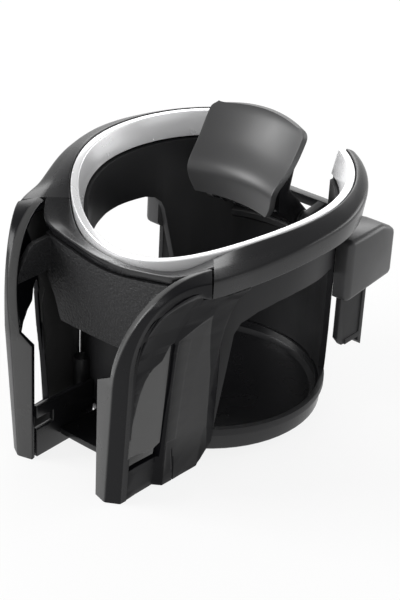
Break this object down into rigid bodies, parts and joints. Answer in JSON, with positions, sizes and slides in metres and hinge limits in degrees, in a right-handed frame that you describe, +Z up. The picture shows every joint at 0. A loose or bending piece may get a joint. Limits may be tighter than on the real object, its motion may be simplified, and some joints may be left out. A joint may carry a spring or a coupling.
{
  "type": "air vent cup holder",
  "caption": "Ring-shaped cup holder for a car's air vent, with a chromed rim, a sprung press arm that steadies the cup, two hooked front legs and a dished floor",
  "frame": {"origin": "middle of the cup floor's upper face, on the cup's axis", "axes": "+Z up along the cup's axis, +Y to the press arm, the hooked legs at -Y, X across"},
  "size_m": [0.101, 0.1121, 0.0952],
  "materials": {
    "satin_black": "satin moulded plastic",
    "dark_gloss": "semi-gloss moulded plastic",
    "grained_black": "fine-grained matt plastic",
    "chrome": "chromed plastic",
    "steel": "bright steel"
  },
  "bodies": {
    "holder": {"trim_ring": "chrome", "ring_collar": "satin_black", "front_apron": "grained_black", "leg_cover_left": "dark_gloss", "leg_cover_right": "dark_gloss", "side_wall_left": "satin_black", "side_wall_right": "satin_black", "inner_wall_left": "satin_black", "inner_wall_right": "satin_black", "cup_barrel": "satin_black", "cup_tray": "satin_black", "rear_frame": "satin_black", "support_bracket_left": "satin_black", "support_bracket_right": "satin_black", "hinge_pin": "steel", "torsion_spring_left": "steel", "torsion_spring_right": "steel", "tray_screw_1": "steel", "tray_screw_2": "steel", "tray_screw_3": "steel", "tray_screw_4": "steel"},
    "arm": {"press_arm": "satin_black"}
  },
  "joints": [
    {"name": "press_arm_hinge", "type": "hinge", "parent": "holder", "child": "arm", "pos_m": [0, 0.0266, 0.0556], "axis": [-1, 0, 0], "range_deg": [0, 50], "stiffness_Nm_per_rad": 0.06, "springref_deg": -11.46}
  ]
}
